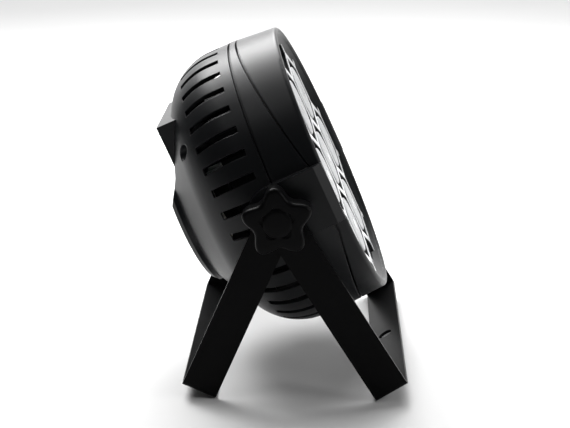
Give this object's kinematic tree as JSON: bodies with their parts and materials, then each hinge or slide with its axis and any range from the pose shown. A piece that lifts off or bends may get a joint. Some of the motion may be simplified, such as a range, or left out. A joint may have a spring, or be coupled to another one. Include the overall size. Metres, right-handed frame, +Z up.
{
  "type": "par can light",
  "caption": "Slim round stage light with hexagonally packed lenses, finned rear venting and two clamped steel yokes that act as floor stand or hanging bracket.",
  "frame": {"origin": "on the floor, at the centre of the footprint, between the hood's edge and the front yoke's toe", "axes": "+Z up, +X under the beam's direction, +Y along the pivots towards the light's left side"},
  "size_m": [0.1984, 0.291, 0.2693],
  "materials": {
    "housing": "satin black moulded plastic",
    "plate": "silver-white lacquer",
    "seal": "matt black rubber",
    "lens": "frosted clear acrylic",
    "led_board": "white solder mask",
    "led": "phosphor under clear resin",
    "aluminium": "black anodised",
    "circuit_board": "green solder mask",
    "brass": "turned",
    "panel": "black powder coat",
    "display": "dark red window",
    "button": "satin dark grey",
    "connector_plastic": "black nylon",
    "connector_metal": "nickel plated",
    "fastener": "zinc plated",
    "yoke": "satin black powder coat",
    "knob": "black moulded nylon",
    "nylon": "natural nylon"
  },
  "bodies": {
    "head": {"front_bezel": "housing", "mid_casing": "housing", "rear_shell": "housing", "lens_plate": "plate", "bezel_gasket": "seal", "lens_centre": "lens", "lens_1": "lens", "lens_2": "lens", "lens_3": "lens", "lens_4": "lens", "lens_5": "lens", "lens_6": "lens", "led_board": "led_board", "led_chips": "led", "heat_sink": "aluminium", "power_board": "circuit_board", "board_standoffs": "brass", "control_board": "circuit_board", "control_panel": "panel", "display_window": "display", "connector_plate": "panel", "power_inlet": "connector_plastic", "power_outlet": "connector_plastic", "data_inlet": "connector_metal", "data_outlet": "connector_metal", "fuse_holder": "connector_plastic", "casing_screws": "fastener", "plate_screws": "fastener", "panel_screws": "fastener", "left_pivot_insert": "brass", "right_pivot_insert": "brass", "left_spacer_washer": "nylon", "right_spacer_washer": "nylon"},
    "rear_yoke": {"rear_yoke": "yoke"},
    "front_yoke": {"front_yoke": "yoke", "left_friction_washer": "nylon", "right_friction_washer": "nylon"},
    "left_knob": {"left_knob": "knob", "left_stud": "fastener", "left_knob_washer": "fastener"},
    "right_knob": {"right_knob": "knob", "right_stud": "fastener", "right_knob_washer": "fastener"},
    "fuse_cap": {"fuse_cap": "connector_plastic"},
    "data_latch": {"data_latch": "connector_metal"},
    "button_menu": {"button_menu": "button"},
    "button_down": {"button_down": "button"},
    "button_up": {"button_up": "button"},
    "button_enter": {"button_enter": "button"}
  },
  "joints": [
    {"name": "front_yoke_swing", "type": "hinge", "parent": "head", "child": "front_yoke", "pos_m": [-0.00056, 0, 0.147], "axis": [0, 1, 0], "range_deg": [-150, 55]},
    {"name": "rear_yoke_swing", "type": "hinge", "parent": "head", "child": "rear_yoke", "pos_m": [-0.00056, 0, 0.147], "axis": [0, 1, 0], "range_deg": [-55, 150]},
    {"name": "left_knob_turn", "type": "hinge", "parent": "head", "child": "left_knob", "pos_m": [-0.00056, 0, 0.147], "axis": [0, 1, 0], "continuous": true},
    {"name": "right_knob_turn", "type": "hinge", "parent": "head", "child": "right_knob", "pos_m": [-0.00056, 0, 0.147], "axis": [0, -1, 0], "continuous": true},
    {"name": "fuse_cap_turn", "type": "hinge", "parent": "head", "child": "fuse_cap", "pos_m": [-0.06046, 0, 0.07293], "axis": [0.9121, 0, 0.4099], "range_deg": [0, 90]},
    {"name": "data_latch_press", "type": "slide", "parent": "head", "child": "data_latch", "axis": [0.9121, 0, 0.4099], "range_m": [0, 0.0012], "stiffness_N_per_m": 900, "springref_m": -0.0006},
    {"name": "menu_press", "type": "slide", "parent": "head", "child": "button_menu", "axis": [0.9121, 0, 0.4099], "range_m": [0, 0.0006], "stiffness_N_per_m": 900, "springref_m": -0.0006},
    {"name": "down_press", "type": "slide", "parent": "head", "child": "button_down", "axis": [0.9121, 0, 0.4099], "range_m": [0, 0.0006], "stiffness_N_per_m": 900, "springref_m": -0.0006},
    {"name": "up_press", "type": "slide", "parent": "head", "child": "button_up", "axis": [0.9121, 0, 0.4099], "range_m": [0, 0.0006], "stiffness_N_per_m": 900, "springref_m": -0.0006},
    {"name": "enter_press", "type": "slide", "parent": "head", "child": "button_enter", "axis": [0.9121, 0, 0.4099], "range_m": [0, 0.0006], "stiffness_N_per_m": 900, "springref_m": -0.0006}
  ]
}
